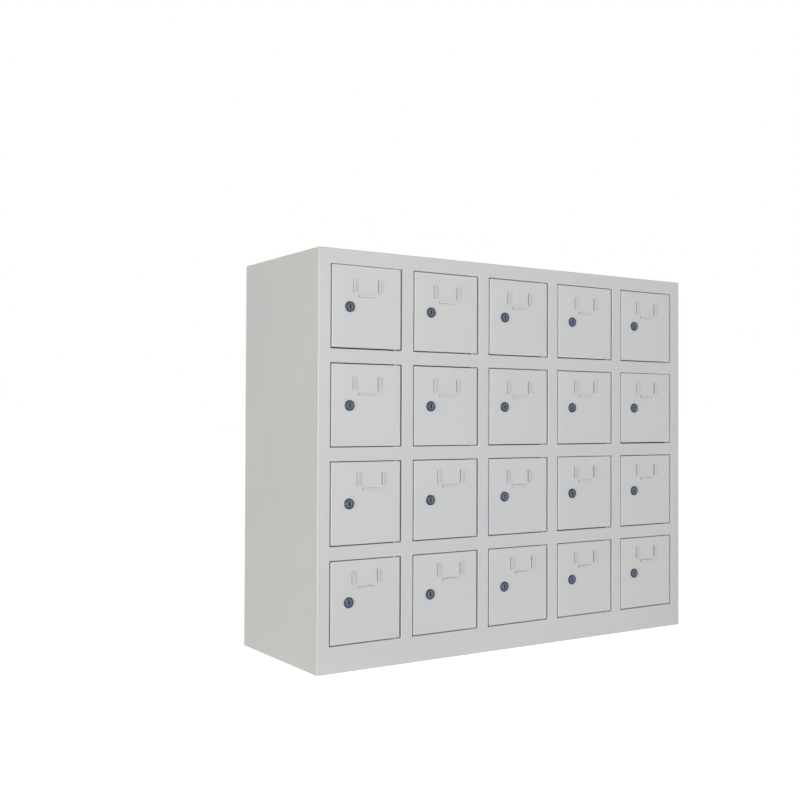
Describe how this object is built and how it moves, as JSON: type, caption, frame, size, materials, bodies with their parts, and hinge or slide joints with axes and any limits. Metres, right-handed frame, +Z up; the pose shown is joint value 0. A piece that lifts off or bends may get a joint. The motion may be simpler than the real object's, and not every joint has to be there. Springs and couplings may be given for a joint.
{
  "type": "cell phone locker box",
  "caption": "Steel cabinet of small square compartments in rows and columns, each with a folded door on pivot pins, a pressed card holder and a turning cam lock.",
  "frame": {"origin": "middle of the cabinet's flat base, on the surface that it stands on", "axes": "+X to the right as seen from the front, +Y to the back, +Z up"},
  "size_m": [0.72, 0.2422, 0.6],
  "materials": {
    "cabinet_paint": "satin",
    "door_paint": "satin",
    "lock_finish": "satin",
    "pin_steel": "satin"
  },
  "bodies": {
    "cabinet": {"side_panel_left": "cabinet_paint", "side_panel_right": "cabinet_paint", "top_panel": "cabinet_paint", "back_panel": "cabinet_paint", "floor_panel": "cabinet_paint", "base_pan": "cabinet_paint", "divider_1": "cabinet_paint", "divider_2": "cabinet_paint", "divider_3": "cabinet_paint", "divider_4": "cabinet_paint", "shelves_1": "cabinet_paint", "shelves_2": "cabinet_paint", "shelves_3": "cabinet_paint", "hinge_pins": "pin_steel"},
    "door_r1c1": {"door_r1c1": "door_paint"},
    "lock_r1c1": {"lock_r1c1": "lock_finish"},
    "door_r1c2": {"door_r1c2": "door_paint"},
    "lock_r1c2": {"lock_r1c2": "lock_finish"},
    "door_r1c3": {"door_r1c3": "door_paint"},
    "lock_r1c3": {"lock_r1c3": "lock_finish"},
    "door_r1c4": {"door_r1c4": "door_paint"},
    "lock_r1c4": {"lock_r1c4": "lock_finish"},
    "door_r1c5": {"door_r1c5": "door_paint"},
    "lock_r1c5": {"lock_r1c5": "lock_finish"},
    "door_r2c1": {"door_r2c1": "door_paint"},
    "lock_r2c1": {"lock_r2c1": "lock_finish"},
    "door_r2c2": {"door_r2c2": "door_paint"},
    "lock_r2c2": {"lock_r2c2": "lock_finish"},
    "door_r2c3": {"door_r2c3": "door_paint"},
    "lock_r2c3": {"lock_r2c3": "lock_finish"},
    "door_r2c4": {"door_r2c4": "door_paint"},
    "lock_r2c4": {"lock_r2c4": "lock_finish"},
    "door_r2c5": {"door_r2c5": "door_paint"},
    "lock_r2c5": {"lock_r2c5": "lock_finish"},
    "door_r3c1": {"door_r3c1": "door_paint"},
    "lock_r3c1": {"lock_r3c1": "lock_finish"},
    "door_r3c2": {"door_r3c2": "door_paint"},
    "lock_r3c2": {"lock_r3c2": "lock_finish"},
    "door_r3c3": {"door_r3c3": "door_paint"},
    "lock_r3c3": {"lock_r3c3": "lock_finish"},
    "door_r3c4": {"door_r3c4": "door_paint"},
    "lock_r3c4": {"lock_r3c4": "lock_finish"},
    "door_r3c5": {"door_r3c5": "door_paint"},
    "lock_r3c5": {"lock_r3c5": "lock_finish"},
    "door_r4c1": {"door_r4c1": "door_paint"},
    "lock_r4c1": {"lock_r4c1": "lock_finish"},
    "door_r4c2": {"door_r4c2": "door_paint"},
    "lock_r4c2": {"lock_r4c2": "lock_finish"},
    "door_r4c3": {"door_r4c3": "door_paint"},
    "lock_r4c3": {"lock_r4c3": "lock_finish"},
    "door_r4c4": {"door_r4c4": "door_paint"},
    "lock_r4c4": {"lock_r4c4": "lock_finish"},
    "door_r4c5": {"door_r4c5": "door_paint"},
    "lock_r4c5": {"lock_r4c5": "lock_finish"}
  },
  "joints": [
    {"name": "door_r1c1_hinge", "type": "hinge", "parent": "cabinet", "child": "door_r1c1", "pos_m": [-0.23028, -0.117, 0.51865], "axis": [0, 0, 1], "range_deg": [0, 110]},
    {"name": "lock_r1c1_turn", "type": "hinge", "parent": "door_r1c1", "child": "lock_r1c1", "pos_m": [-0.3094, -0.12, 0.51815], "axis": [0, 1, 0], "range_deg": [0, 90]},
    {"name": "door_r1c2_hinge", "type": "hinge", "parent": "cabinet", "child": "door_r1c2", "pos_m": [-0.09028, -0.117, 0.51815], "axis": [0, 0, 1], "range_deg": [0, 110]},
    {"name": "lock_r1c2_turn", "type": "hinge", "parent": "door_r1c2", "child": "lock_r1c2", "pos_m": [-0.1694, -0.12, 0.51765], "axis": [0, 1, 0], "range_deg": [0, 90]},
    {"name": "door_r1c3_hinge", "type": "hinge", "parent": "cabinet", "child": "door_r1c3", "pos_m": [0.04972, -0.117, 0.51815], "axis": [0, 0, 1], "range_deg": [0, 110]},
    {"name": "lock_r1c3_turn", "type": "hinge", "parent": "door_r1c3", "child": "lock_r1c3", "pos_m": [-0.0294, -0.12, 0.51765], "axis": [0, 1, 0], "range_deg": [0, 90]},
    {"name": "door_r1c4_hinge", "type": "hinge", "parent": "cabinet", "child": "door_r1c4", "pos_m": [0.18972, -0.117, 0.51815], "axis": [0, 0, 1], "range_deg": [0, 110]},
    {"name": "lock_r1c4_turn", "type": "hinge", "parent": "door_r1c4", "child": "lock_r1c4", "pos_m": [0.1106, -0.12, 0.51765], "axis": [0, 1, 0], "range_deg": [0, 90]},
    {"name": "door_r1c5_hinge", "type": "hinge", "parent": "cabinet", "child": "door_r1c5", "pos_m": [0.32972, -0.117, 0.51815], "axis": [0, 0, 1], "range_deg": [0, 110]},
    {"name": "lock_r1c5_turn", "type": "hinge", "parent": "door_r1c5", "child": "lock_r1c5", "pos_m": [0.2506, -0.12, 0.51765], "axis": [0, 1, 0], "range_deg": [0, 90]},
    {"name": "door_r2c1_hinge", "type": "hinge", "parent": "cabinet", "child": "door_r2c1", "pos_m": [-0.23028, -0.117, 0.37785], "axis": [0, 0, 1], "range_deg": [0, 110]},
    {"name": "lock_r2c1_turn", "type": "hinge", "parent": "door_r2c1", "child": "lock_r2c1", "pos_m": [-0.3094, -0.12, 0.37735], "axis": [0, 1, 0], "range_deg": [0, 90]},
    {"name": "door_r2c2_hinge", "type": "hinge", "parent": "cabinet", "child": "door_r2c2", "pos_m": [-0.09028, -0.117, 0.37785], "axis": [0, 0, 1], "range_deg": [0, 110]},
    {"name": "lock_r2c2_turn", "type": "hinge", "parent": "door_r2c2", "child": "lock_r2c2", "pos_m": [-0.1694, -0.12, 0.37735], "axis": [0, 1, 0], "range_deg": [0, 90]},
    {"name": "door_r2c3_hinge", "type": "hinge", "parent": "cabinet", "child": "door_r2c3", "pos_m": [0.04972, -0.117, 0.37815], "axis": [0, 0, 1], "range_deg": [0, 110]},
    {"name": "lock_r2c3_turn", "type": "hinge", "parent": "door_r2c3", "child": "lock_r2c3", "pos_m": [-0.0294, -0.12, 0.37765], "axis": [0, 1, 0], "range_deg": [0, 90]},
    {"name": "door_r2c4_hinge", "type": "hinge", "parent": "cabinet", "child": "door_r2c4", "pos_m": [0.18972, -0.117, 0.37815], "axis": [0, 0, 1], "range_deg": [0, 110]},
    {"name": "lock_r2c4_turn", "type": "hinge", "parent": "door_r2c4", "child": "lock_r2c4", "pos_m": [0.1106, -0.12, 0.37765], "axis": [0, 1, 0], "range_deg": [0, 90]},
    {"name": "door_r2c5_hinge", "type": "hinge", "parent": "cabinet", "child": "door_r2c5", "pos_m": [0.32972, -0.117, 0.37865], "axis": [0, 0, 1], "range_deg": [0, 110]},
    {"name": "lock_r2c5_turn", "type": "hinge", "parent": "door_r2c5", "child": "lock_r2c5", "pos_m": [0.2506, -0.12, 0.37815], "axis": [0, 1, 0], "range_deg": [0, 90]},
    {"name": "door_r3c1_hinge", "type": "hinge", "parent": "cabinet", "child": "door_r3c1", "pos_m": [-0.23028, -0.117, 0.23815], "axis": [0, 0, 1], "range_deg": [0, 110]},
    {"name": "lock_r3c1_turn", "type": "hinge", "parent": "door_r3c1", "child": "lock_r3c1", "pos_m": [-0.3094, -0.12, 0.23765], "axis": [0, 1, 0], "range_deg": [0, 90]},
    {"name": "door_r3c2_hinge", "type": "hinge", "parent": "cabinet", "child": "door_r3c2", "pos_m": [-0.09028, -0.117, 0.23815], "axis": [0, 0, 1], "range_deg": [0, 110]},
    {"name": "lock_r3c2_turn", "type": "hinge", "parent": "door_r3c2", "child": "lock_r3c2", "pos_m": [-0.1694, -0.12, 0.23765], "axis": [0, 1, 0], "range_deg": [0, 90]},
    {"name": "door_r3c3_hinge", "type": "hinge", "parent": "cabinet", "child": "door_r3c3", "pos_m": [0.04972, -0.117, 0.23815], "axis": [0, 0, 1], "range_deg": [0, 110]},
    {"name": "lock_r3c3_turn", "type": "hinge", "parent": "door_r3c3", "child": "lock_r3c3", "pos_m": [-0.0294, -0.12, 0.23765], "axis": [0, 1, 0], "range_deg": [0, 90]},
    {"name": "door_r3c4_hinge", "type": "hinge", "parent": "cabinet", "child": "door_r3c4", "pos_m": [0.18972, -0.117, 0.23845], "axis": [0, 0, 1], "range_deg": [0, 110]},
    {"name": "lock_r3c4_turn", "type": "hinge", "parent": "door_r3c4", "child": "lock_r3c4", "pos_m": [0.1106, -0.12, 0.23795], "axis": [0, 1, 0], "range_deg": [0, 90]},
    {"name": "door_r3c5_hinge", "type": "hinge", "parent": "cabinet", "child": "door_r3c5", "pos_m": [0.32972, -0.117, 0.23815], "axis": [0, 0, 1], "range_deg": [0, 110]},
    {"name": "lock_r3c5_turn", "type": "hinge", "parent": "door_r3c5", "child": "lock_r3c5", "pos_m": [0.2506, -0.12, 0.23765], "axis": [0, 1, 0], "range_deg": [0, 90]},
    {"name": "door_r4c1_hinge", "type": "hinge", "parent": "cabinet", "child": "door_r4c1", "pos_m": [-0.23028, -0.117, 0.09815], "axis": [0, 0, 1], "range_deg": [0, 110]},
    {"name": "lock_r4c1_turn", "type": "hinge", "parent": "door_r4c1", "child": "lock_r4c1", "pos_m": [-0.3094, -0.12, 0.09765], "axis": [0, 1, 0], "range_deg": [0, 90]},
    {"name": "door_r4c2_hinge", "type": "hinge", "parent": "cabinet", "child": "door_r4c2", "pos_m": [-0.09028, -0.117, 0.09815], "axis": [0, 0, 1], "range_deg": [0, 110]},
    {"name": "lock_r4c2_turn", "type": "hinge", "parent": "door_r4c2", "child": "lock_r4c2", "pos_m": [-0.1694, -0.12, 0.09765], "axis": [0, 1, 0], "range_deg": [0, 90]},
    {"name": "door_r4c3_hinge", "type": "hinge", "parent": "cabinet", "child": "door_r4c3", "pos_m": [0.04972, -0.117, 0.09815], "axis": [0, 0, 1], "range_deg": [0, 110]},
    {"name": "lock_r4c3_turn", "type": "hinge", "parent": "door_r4c3", "child": "lock_r4c3", "pos_m": [-0.0294, -0.12, 0.09765], "axis": [0, 1, 0], "range_deg": [0, 90]},
    {"name": "door_r4c4_hinge", "type": "hinge", "parent": "cabinet", "child": "door_r4c4", "pos_m": [0.18972, -0.117, 0.09815], "axis": [0, 0, 1], "range_deg": [0, 110]},
    {"name": "lock_r4c4_turn", "type": "hinge", "parent": "door_r4c4", "child": "lock_r4c4", "pos_m": [0.1106, -0.12, 0.09765], "axis": [0, 1, 0], "range_deg": [0, 90]},
    {"name": "door_r4c5_hinge", "type": "hinge", "parent": "cabinet", "child": "door_r4c5", "pos_m": [0.32972, -0.117, 0.09815], "axis": [0, 0, 1], "range_deg": [0, 110]},
    {"name": "lock_r4c5_turn", "type": "hinge", "parent": "door_r4c5", "child": "lock_r4c5", "pos_m": [0.2506, -0.12, 0.09765], "axis": [0, 1, 0], "range_deg": [0, 90]}
  ]
}
